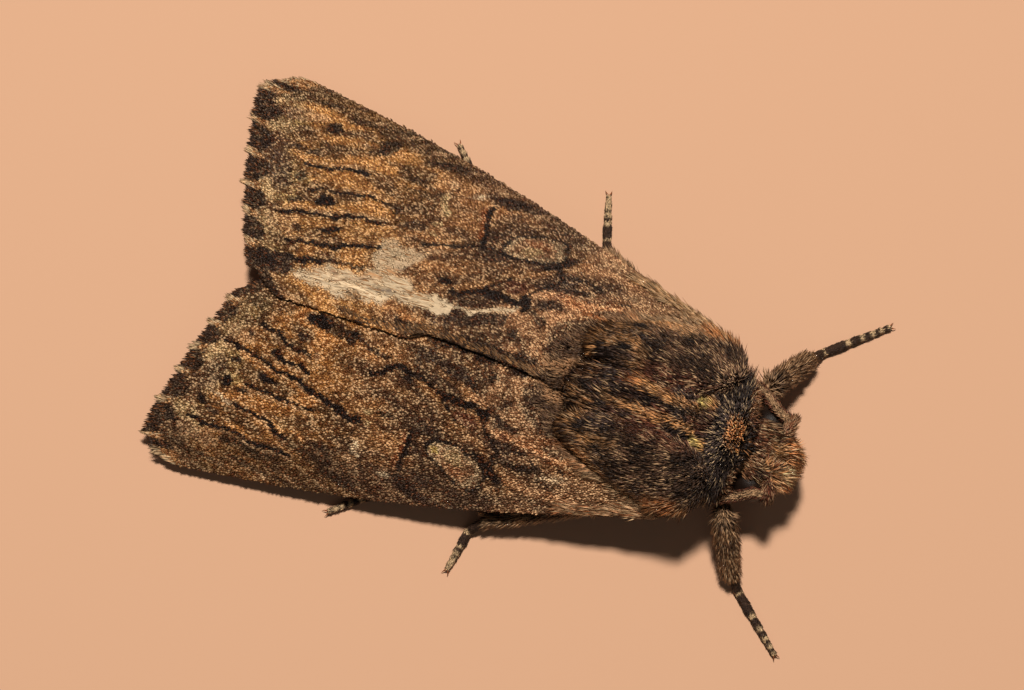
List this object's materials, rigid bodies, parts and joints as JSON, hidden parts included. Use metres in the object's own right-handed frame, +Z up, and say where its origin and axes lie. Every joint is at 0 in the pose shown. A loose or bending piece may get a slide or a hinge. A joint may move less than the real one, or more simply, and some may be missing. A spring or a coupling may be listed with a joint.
{
  "type": "owlet moth",
  "caption": "Brown mottled owlet moth at rest, wings folded like a low roof, standing on its legs; a still, life-size model.",
  "frame": {"origin": "on the floor, under the middle of the whole moth's box, wings and feet included", "axes": "+Z up, -Y the way the head faces, +X the moth's left"},
  "size_m": [0.0187, 0.0306, 0.0071],
  "materials": {
    "thorax": "dense dark brown hair scales",
    "collar": "reddish brown hair scales",
    "head": "shaggy orange-brown hair scales",
    "eye": "smooth dark compound eye",
    "antenna": "cream scales above, reddish bristles below",
    "abdomen": "short grey-brown scales",
    "forewing": "mottled dark brown, orange-brown and tan scales",
    "hindwing": "plain grey-brown scales",
    "leg": "grey-tan and brown hair scales",
    "foot": "dark brown scales with cream rings"
  },
  "bodies": {
    "root": {"head": "head", "collar": "collar", "thorax": "thorax", "abdomen": "abdomen", "eye_left": "eye", "antenna_base_left": "antenna", "antenna_left": "antenna", "palp_left": "head", "tegula_left": "thorax", "forewing_left": "forewing", "hindwing_left": "hindwing", "fore_coxa_left": "leg", "fore_femur_left": "leg", "fore_tibia_left": "leg", "fore_foot_left": "foot", "mid_coxa_left": "leg", "mid_femur_left": "leg", "mid_tibia_left": "leg", "mid_foot_left": "foot", "hind_coxa_left": "leg", "hind_femur_left": "leg", "hind_tibia_left": "leg", "hind_foot_left": "foot", "eye_right": "eye", "antenna_base_right": "antenna", "antenna_right": "antenna", "palp_right": "head", "tegula_right": "thorax", "forewing_right": "forewing", "hindwing_right": "hindwing", "fore_coxa_right": "leg", "fore_femur_right": "leg", "fore_tibia_right": "leg", "fore_foot_right": "foot", "mid_coxa_right": "leg", "mid_femur_right": "leg", "mid_tibia_right": "leg", "mid_foot_right": "foot", "hind_coxa_right": "leg", "hind_femur_right": "leg", "hind_tibia_right": "leg", "hind_foot_right": "foot"}
  },
  "joints": []
}
